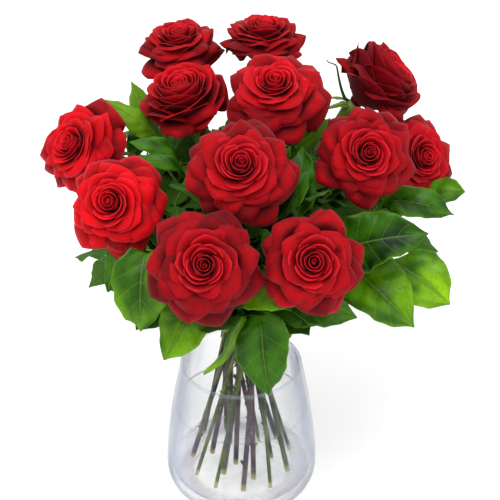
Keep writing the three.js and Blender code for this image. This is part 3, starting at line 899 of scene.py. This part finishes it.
def add_sepals(skin, seat, axis, size, rng, proud):
    """Five narrow sepals that fold back from under the bloom, two of them longer if it is a proud one."""
    side, other = cross_directions(axis)
    start = rng.uniform(0, TURN)
    t = np.linspace(0, 1, 9)[:, None]
    for i in range(5):
        angle = start + i * TURN / 5 + rng.uniform(-0.2, 0.2)
        out = turned_way(side, other, angle)
        length = size * (0.40 + 0.06 * rng.uniform(-1, 1)) * (1.25 if proud and i < 2 else 1)
        bend = rng.uniform(0.5, 1.1)
        back = -axis * length * (0.10 + 0.5 * bend * t) * t
        outward = out * (0.055 * size + length * 0.72 * t * (1 - 0.25 * bend * t))
        width = size * 0.05 * np.interp(t[:, 0], (0, 0.25, 0.6, 1), (0.75, 1.0, 0.55, 0.06))
        tint = (0.35, rng.uniform(), 0.0)
        leaf_sheet(skin, seat - axis * 0.03 * size + outward + back, np.cross(axis, out), width, rng, 14,
                   tint, columns=7, veins=3, fold=0.25, quilt=0.3, thick=0.0008)


def stem(node, seed, ruddy):
    """A thorny stem with its nodes, the stubs of side shoots and a pale cut foot, still without its hip."""
    rng = np.random.default_rng(seed)
    line, radius, corners = stem_line(node)
    points = spline(line, STEM_ROWS)
    length = lengths_along(points)
    share = length / length[-1]
    tangents, first, second = path_frames(points)
    joints = np.sort(rng.uniform(0.05, 0.95, int(length[-1] / JOINT_SPACING)))
    swell = 1 + 0.16 * np.exp(-((share[:, None] - joints) / 0.009)**2).sum(1)
    radii = radius * np.interp(share, (0, 0.4, 1), (1.0, 0.98, 0.86)) * swell
    angle = np.linspace(0, TURN, STEM_ROUND, endpoint=False)
    row = np.arange(STEM_ROWS)[:, None]
    lumps = 1 + 0.035 * np.sin(2 * angle + row * 0.09) + 0.02 * np.sin(5 * angle - row * 0.21)
    tint = layered(np.clip(ruddy + 0.25 * (0.5 - share), 0, 1), share, 0.0)
    tint[:2, 2] = (1.0, 0.55)
    skin = Skin()
    add_tube(skin, points, radii[:, None] * lumps, STEM_ROUND, tint)

    def spot(at):
        """The row that far up the stem, and a random way out from it."""
        row = int(at * (STEM_ROWS - 1))
        return row, turned_way(first[row], second[row], rng.uniform(0, TURN))

    for at in rng.uniform(0.08, 0.9, int(length[-1] / THORN_SPACING)):
        row, outward = spot(at)
        add_thorn(skin, points[row] + outward * radii[row] * 0.8, outward, -tangents[row],
                  THORN * rng.uniform(0.7, 1.1), (min(1.0, ruddy + 0.3), at, 0.0))
    for at in rng.uniform(0.06, 0.5, 3):
        row, outward = spot(at)
        way = unit(outward + 1.1 * tangents[row])
        add_shoot(skin, points[row], way, radii[row], rng, (ruddy, at, 0.0))
    return skin, points, radii[-1], corners, rng


def add_hip(skin, points, radius, seat, axis, size):
    """The green swelling under a bloom, carried on smoothly from the end of its stem."""
    line = spline([points[-4], points[-1], seat - axis * 0.045 * size, seat + axis * 0.03 * size], 18)
    widths = (radius, radius * 1.05, 0.052 * size, 0.080 * size, 0.074 * size, 0.05 * size)
    swell = np.interp(np.linspace(0, 1, len(line)), (0, 0.3, 0.55, 0.78, 0.92, 1), widths)
    add_tube(skin, line, swell, STEM_ROUND, (0.05, 1.0, 0.0))


# ---------------------------------------------------------------- vase, water and tie


def vase_sizes():
    """The vase's own sizes, measured on its CAD solid."""
    corners, _ = solid_of("vase")
    radius = np.hypot(corners[:, 0], corners[:, 1])
    z = corners[:, 2]
    top = z.max()
    near_rim = z > top - 4 * MM
    floor = z[(radius < 1 * MM) & (z > 2 * MM)].min()
    on_floor = np.abs(z - floor) < 0.5 * MM
    return {
        "height": top,
        "rim": radius[near_rim].max(),
        "wall": np.ptp(radius[near_rim]),
        "belly": radius.max(),
        "belly_height": z[np.argmax(radius)],
        "foot": radius[z < 0.1 * MM].max(),
        "floor": floor,
        "floor_radius": radius[on_floor].max(),
    }


def curve(a, handle, b, steps):
    """A quadratic bend from a to b, leaving and arriving towards the handle."""
    a, handle, b = (np.array(p, float) for p in (a, handle, b))
    t = np.linspace(0, 1, steps)[:, None]
    return list(map(tuple, a * (1 - t)**2 + 2 * handle * t * (1 - t) + b * t**2))


def vase_profile(s):
    """Half the vase's section, from the middle of its foot, round the lip, to the middle of its floor."""
    lip = s["wall"] / 2
    lip_height = s["height"] - lip
    waist = s["height"] * 0.52
    push_up = 1.2 * MM
    foot = [(0, push_up), (s["foot"] * 0.55, push_up * 0.8),
            (s["foot"] * 0.88, 0.2 * MM), (s["foot"] * 0.95, 0)]
    belly = (s["belly"], s["belly_height"])
    corner = curve((s["foot"], 0), (s["belly"], 0.5 * MM), belly, 18)
    side = curve(belly, (s["belly"] - 2.2 * MM, waist), (s["rim"], lip_height), 24)[1:]
    rim = arc((s["rim"] - lip, lip_height), lip, 0, 180, 10)[1:]
    inner_belly = s["belly"] - s["wall"] - 1 * MM
    bend = (inner_belly, s["floor"] + 14 * MM)
    inside = curve((s["rim"] - s["wall"], lip_height), (inner_belly - 2.0 * MM, waist), bend, 24)[1:]
    bottom = curve(bend, (inner_belly, s["floor"]), (s["floor_radius"] * 0.9, s["floor"]), 14)[1:]
    floor = [(s["floor_radius"] * 0.5, s["floor"] - 0.8 * MM), (0, s["floor"] - 1.2 * MM)]
    return foot + corner + side + rim + inside + bottom + floor


def water_profile(vase, level):
    """The water: against the glass all round, with a small meniscus at its top edge."""
    start = max(range(len(vase)), key=lambda i: vase[i][1])
    inside = [(r + 0.3 * MM, z - 0.3 * MM) for r, z in vase[start:] if z < level]
    inside[-1] = (0, inside[-1][1])
    edge_radius = inside[0][0]
    meniscus = [(0, level), (edge_radius - 8 * MM, level), (edge_radius - 3 * MM, level + 0.3 * MM),
                (edge_radius - 1 * MM, level + 1.0 * MM), (edge_radius, level + 2.0 * MM)]
    return list(reversed(meniscus + inside))


TWINE = 0.9 * MM
TWINE_SIDES = 8


def tie(finish):
    """Twine wound round the bunch where the stems cross, with its two ends hanging from a knot."""
    low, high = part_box("binding_tie")
    middle = (np.array(low) + np.array(high)) / 2
    radius = (high.x - low.x) / 2
    turns = int((high.z - low.z) / (2.0 * TWINE))
    angle = np.linspace(0, TURN * turns, 72 * turns)
    wobble = 0.3 * MM * np.sin(angle * 0.37 + 1) + 0.2 * MM * np.sin(angle * 3.1)
    height = np.linspace(low.z + TWINE, high.z - TWINE, len(angle)) + wobble * 0.6
    reach = radius - TWINE + wobble * 0.4
    skin = Skin()
    coil = layered(middle[0] + reach * np.cos(angle), middle[1] + reach * np.sin(angle), height)
    add_tube(skin, coil, TWINE, TWINE_SIDES, PLAIN)
    knot = middle + np.array([0.3, -1.0, 0]) * radius * 0.96
    for i, hand in enumerate((-1, 1)):
        end = np.array([(0, 1, 0), (3 * hand, -1, 2), (5 * hand, -1.5, i - 3), (7 * hand, 0, -9)])
        add_tube(skin, spline(knot + end * MM, 24), TWINE, TWINE_SIDES, PLAIN)
    skin.make("tie_twine", finish, "twine", ("binding_tie",))


# ---------------------------------------------------------------- rose leaves on the stems

# How far the middle lines of a compound leaf are kept from those of other leaves, how far it may come short
# of that or of a bloom's own room, and how far a filler leaf's middle line is kept.
LEAF_ROOM = 0.009
SQUEEZE = 0.006
FILLER_ROOM = 0.004


class Room:
    """Where blooms are and how far the model may reach, for placing the leaves that grow between them."""

    def __init__(self, blooms, low, high, taken):
        self.centres = np.array([seat + axis * 0.3 * size for seat, axis, size in blooms])
        self.reach = np.array([0.46 * size for _, _, size in blooms])
        self.low, self.high = np.array(low), np.array(high)
        self.taken = taken

    def clear_of_blooms(self, points):
        gaps = np.linalg.norm(points[:, None] - self.centres[None], axis=2) - self.reach
        return min(gaps.min(), (points - self.low).min(), (self.high - points).min())

    def clear_of_leaves(self, points):
        return np.linalg.norm(points[:, None] - self.taken[None], axis=2).min()

    def clearance(self, points):
        return min(self.clear_of_blooms(points), self.clear_of_leaves(points) - LEAF_ROOM)

    def take(self, points):
        self.taken = np.concatenate([self.taken, points])


LEAF_STALK = 0.062
LEAFLET = 0.044
LEAFLET_SHARE = 0.60
WAYS_TRIED = 14


def rose_leaf_plan(root, outward, drop, scale):
    """The middle lines of a compound rose leaf: its stalk first, then its five leaflets."""
    along = unit(outward)
    sideways = unit(np.cross(along, UP))
    t = np.linspace(0, 1, 7)[:, None]
    length = LEAF_STALK * scale
    stalk = root + along * length * t - UP * drop * length * t**2
    plan = [stalk]
    ahead = unit(stalk[-1] - stalk[-2])
    leaflet = LEAFLET * scale
    plan.append(stalk[-1] + (ahead * leaflet * 1.1) * t - UP * 0.25 * leaflet * t**2)
    for place, grown in ((4, 0.9), (2, 0.72)):
        for hand in (-1, 1):
            way = unit(0.45 * ahead + hand * sideways)
            plan.append(stalk[place] + way * leaflet * grown * t - UP * 0.3 * leaflet * t**2)
    return plan


def filler_leaf(skin, root, azimuth, lean, length, room, rng):
    """A broad dark leaf that rises from that root between the stems, if there is room for it."""
    out = np.array([math.cos(azimuth), math.sin(azimuth), 0.0])
    t = np.linspace(0, 1, 9)[:, None]
    rise = unit(out * math.sin(lean) + UP * math.cos(lean))
    droop = rng.uniform(0.05, 0.28)
    line = root + out * 0.012 + rise * length * t + (out * 0.5 - UP) * droop * length * t**2.4
    across = unit(np.cross(UP + 0.25 * rng.normal(size=3), rise))
    outline = np.interp(t[:, 0], (0, 0.30, 0.42, 0.62, 0.85, 1), (0.03, 0.05, 0.62, 1.0, 0.6, 0.02))
    width = min(0.25 * length, 0.028) * outline
    edges = across * width[:, None]
    blade = np.concatenate([line[4:], (line - edges)[4:], (line + edges)[4:]])
    if room.clear_of_blooms(blade) < 0 or room.clear_of_leaves(line[4:]) < FILLER_ROOM:
        return
    room.take(line[4:])
    tint = (rng.uniform(0.0, 0.45), rng.uniform(), 0.0)
    leaf_sheet(skin, line, across, width, rng, 18, tint, columns=9, jag=0.10)


# How many are tried.
LOW_FILLERS = 170
HIGH_FILLERS = 240


def filler_leaves(room, finish, lines):
    """Dark leaves that close the space between the stems under the blooms, all round the bunch. Their dark
    green is partly painted shade.

    The low ones fan out from just above the tie, the high ones grow along the stems' middle lines.
    """
    rng = np.random.default_rng(FILLER_SEED)
    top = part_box("binding_tie")[1].z
    skin = Skin()
    for i in range(LOW_FILLERS):
        azimuth = i * GOLDEN + rng.uniform(-0.2, 0.2)
        lean = math.radians(8 + 66 * ((i * GOLDEN_SHARE) % 1.0))
        root = np.array([0.0, 0.0, top + 0.012 + 0.05 * rng.uniform()])
        filler_leaf(skin, root, azimuth, lean, rng.uniform(0.075, 0.17), room, rng)
    skin.make("filler_leaves_low", finish, "leaf")
    skin = Skin()
    for i in range(HIGH_FILLERS):
        line = lines[i % len(lines)]
        root = line[int(len(line) * rng.uniform(0.45, 0.8))]
        lean = math.radians(rng.uniform(20, 85))
        filler_leaf(skin, root, i * GOLDEN, lean, rng.uniform(0.06, 0.11), room, rng)
    skin.make("filler_leaves_high", finish, "leaf")


# Where a rose's own leaves grow, in metres below its bloom, and their scale.
LEAF_PLACES = ((0.026, 0.55), (0.046, 0.85), (0.068, 1.0), (0.090, 1.1), (0.112, 1.0), (0.134, 0.9))


def rose_leaves(name, points, radius, finish, room, rng):
    """Dark toothed leaves of five leaflets each, set round a stem where there is room for them."""
    skin = Skin()
    length = lengths_along(points)
    tangents, first, second = path_frames(points)
    for below, scale in LEAF_PLACES:
        row = int(np.searchsorted(length, length[-1] - below))
        if row < 4:
            continue
        best = None
        for turned in rng.uniform(0, TURN, WAYS_TRIED):
            spoke = turned_way(first[row], second[row], turned)
            outward = unit(spoke + tangents[row] * 0.55 + UP * 0.1)
            plan = rose_leaf_plan(points[row] + spoke * radius * 0.6, outward, rng.uniform(0.05, 0.5), scale)
            clear = room.clearance(np.concatenate([plan[0][3:], *plan[1:]]))
            if best is None or clear > best[0]:
                best = (clear, plan)
        clear, (stalk, *leaflets) = best
        if clear < -SQUEEZE:
            continue
        room.take(np.concatenate([line[::2] for line in leaflets]))
        add_tube(skin, spline(stalk, 12), np.linspace(1.2 * MM, 0.7 * MM, 12), 6, (0.25, rng.uniform(), 1.0))
        light = rng.uniform(0.1, 0.9)
        for line in leaflets:
            ahead = line[-1] - line[0]
            across = unit(np.cross(UP + 0.3 * rng.normal(size=3), unit(ahead)))
            t = np.linspace(0, 1, len(line))
            half = np.linalg.norm(ahead) * LEAFLET_SHARE / 2
            width = half * np.sin(math.pi * t**0.8)**0.75
            width[0], width[-1] = 0.8 * MM, 0.5 * MM
            tint = (light + rng.uniform(-0.1, 0.1), rng.uniform(), 0.0)
            leaf_sheet(skin, line, across, width, rng, 20, tint, columns=9, serrate=0.14, fold=0.2,
                       quilt=0.7, thick=0.0005)
    if skin.count:
        skin.make(name, finish, "leaf")


# ---------------------------------------------------------------- putting it together

velvet = petal_finish()
bark = stem_finish()
glossy = leaf_finish("leaf_glossy", paint(158, 206, 0), paint(72, 130, 0), paint(4, 36, 0),
                     paint(118, 160, 36), 0.12)
# The dark greens of the rose and filler leaves are partly their own colour and partly painted shade for the
# inside of the bunch.
rose_green = leaf_finish("leaf_rose", paint(48, 96, 10), paint(13, 50, 5), paint(3, 20, 3),
                         paint(80, 118, 38), 0.08)
sepal_green = leaf_finish("sepal_green", paint(140, 168, 62), paint(84, 118, 36), paint(30, 52, 14),
                          paint(120, 146, 60), 0.05)

# How warm and bright each rose is, from 0 for maroon to 1 for scarlet, and how brown its stem is.
HEAT = (0.15, 0.2, 0.42, 0.36, 0.12, 0.76, 0.86, 0.13, 0.13, 0.27, 0.03, 0.15)
RUDDY = (0.3, 0.7, 0.25, 0.9, 0.45, 0.2, 0.8, 0.15, 0.6, 0.95, 0.4, 0.5)
# The rose whose sepals are long and have begun to dry.
PROUD = "05"


def nodes_like(start):
    return [node for node in sorted(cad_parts) if node.startswith(start)]


stem_parts = []
poses = []
for i, node in enumerate(nodes_like("rose_bloom_")):
    stem_node = node.replace("bloom", "stem")
    number = node[-2:]
    skin, points, radius, corners, rng = stem(stem_node, STEM_SEED + i, RUDDY[i])
    seat, axis, size, _ = bloom_pose(node, corners)
    add_hip(skin, points, radius, seat, axis, size)
    skin.make("stem_" + number, bark, "rose_stem", (stem_node,))
    stem_parts.append((number, points, radius))
    poses.append((seat, axis, size))
    calyx = Skin()
    add_sepals(calyx, seat, axis, size, rng, number == PROUD)
    if number == PROUD:
        add_dry_sepal(calyx, seat, axis, size)
    calyx.make("sepals_" + number, sepal_green, "leaf")
    bloom("rose_" + number, node, corners, velvet, BLOOM_SEED + i, HEAT[i])

branch_lines = []
for node in nodes_like("branch_"):
    line, radius, _ = stem_line(node)
    points = spline(line, 80)
    length = lengths_along(points)
    share = length / length[-1]
    branch_lines.append(points)
    skin = Skin()
    tint = layered(0.1 + 0.3 * share, share, 0.0)
    tint[:2, 2] = 1.0
    add_tube(skin, points, radius * np.interp(share, (0, 0.7, 1), (1, 0.95, 0.6)), 14, tint)
    skin.make("foliage_" + node[7:], bark, "branch", (node,))
branch_points = np.concatenate(branch_lines)

# How light the broad leaves are, and how much painted shade darkens those high up between the blooms.
LIGHT = 0.6
HIGH_LEAF_SHADE = 0.45
leaf_points = []
for i, node in enumerate(nodes_like("leaf_")):
    rng = np.random.default_rng(LEAF_SEED + i)
    middle, across, width = leaf_rows(node, branch_points)
    leaf_points.append(middle[2:])
    skin = Skin()
    # Painted shade on the leaves high up between the blooms.
    aged_and_shaded = HIGH_LEAF_SHADE * smooth(middle[:, 2].mean(), 0.27, 0.31)
    tint = (LIGHT + rng.uniform(-0.3, 0.35) - aged_and_shaded, rng.uniform(), 0.0)
    leaf_sheet(skin, middle, across, width, rng, 34, tint, jag=0.06)
    skin.make("foliage_leaf_" + node[5:], glossy, "leaf", (node,))

# The small leaves stay this far inside the whole object's box.
INSET = 0.022
tie_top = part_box("binding_tie")[1].z
lowest = (cad_bounds[0][0] + INSET, cad_bounds[0][1] + INSET, tie_top + INSET)
highest = (cad_bounds[1][0] - INSET, cad_bounds[1][1] - INSET, cad_bounds[1][2])
room = Room(poses, lowest, highest, np.concatenate(leaf_points))
for i, (number, points, radius) in enumerate(stem_parts):
    rng = np.random.default_rng(ROSE_LEAF_SEED + i)
    rose_leaves("rose_leaves_" + number, points, radius, rose_green, room, rng)
filler_leaves(room, rose_green, [points for _, points, _ in stem_parts])

VASE_SIDES = 128
sizes = vase_sizes()
section = vase_profile(sizes)
water_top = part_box("water")[1].z
skin = Skin()
lathe(skin, section, VASE_SIDES, PLAIN)
clear_glass = glass_finish(sizes["floor"], sizes["foot"], sizes["height"])
glass_piece = skin.make("vase_glass", clear_glass, "glass", ("vase",))
skin = Skin()
lathe(skin, water_profile(section, water_top), VASE_SIDES, PLAIN)
water_piece = skin.make("vase_water", water_finish(water_top), "water", ("water",))

# Clear glass and water keep no light from the floor.
for piece in (glass_piece, water_piece):
    piece.visible_shadow = False
    piece.visible_diffuse = False
tie(twine_finish())

# ---------------------------------------------------------------- floor, light and camera

LIT_PLACE = (0, 0, 0.3)


def floor_piece():
    bpy.ops.mesh.primitive_plane_add(size=14, location=(0, 0, 0))
    floor = bpy.context.object
    floor.name = "floor"
    finish = Finish("floor_paper", roughness=0.9, specular_ior_level=0.1)
    finish.colour(paint(254, 254, 254))
    floor.data.materials.append(finish.material)


def area_light(name, place, size, power):
    """A round soft light, turned towards the bouquet."""
    lamp = bpy.data.lights.new(name, "AREA")
    lamp.shape = "DISK"
    lamp.size = size
    lamp.energy = power
    holder = placed(name, lamp)
    holder.location = place
    direction = np.array(LIT_PLACE) - np.array(place)
    holder.rotation_euler = Vector(direction).to_track_quat("-Z", "Y").to_euler()


floor_piece()
area_light("key", (-0.35, -0.7, 1.9), 1.5, 22)
area_light("fill", (1.4, -1.2, 1.3), 1.6, 6)
area_light("back", (0.3, 1.6, 1.5), 1.4, 7)

world = bpy.data.worlds.new("studio")
world.use_nodes = True
background = world.node_tree.nodes["Background"].inputs
background["Color"].default_value = (1, 1, 1, 1)
background["Strength"].default_value = 1.0
scene = bpy.context.scene
scene.world = world
scene.view_settings.view_transform = "Standard"

# A long lens in front of the bouquet that looks down on it.
camera_data = bpy.data.cameras.new("camera")
camera_data.sensor_width = 36
camera_data.lens = 79.2
camera = placed("camera", camera_data)
camera.location = (0.00864, -0.86328, 0.76076)
camera.rotation_euler = (math.radians(60), 0, 0)
scene.camera = camera
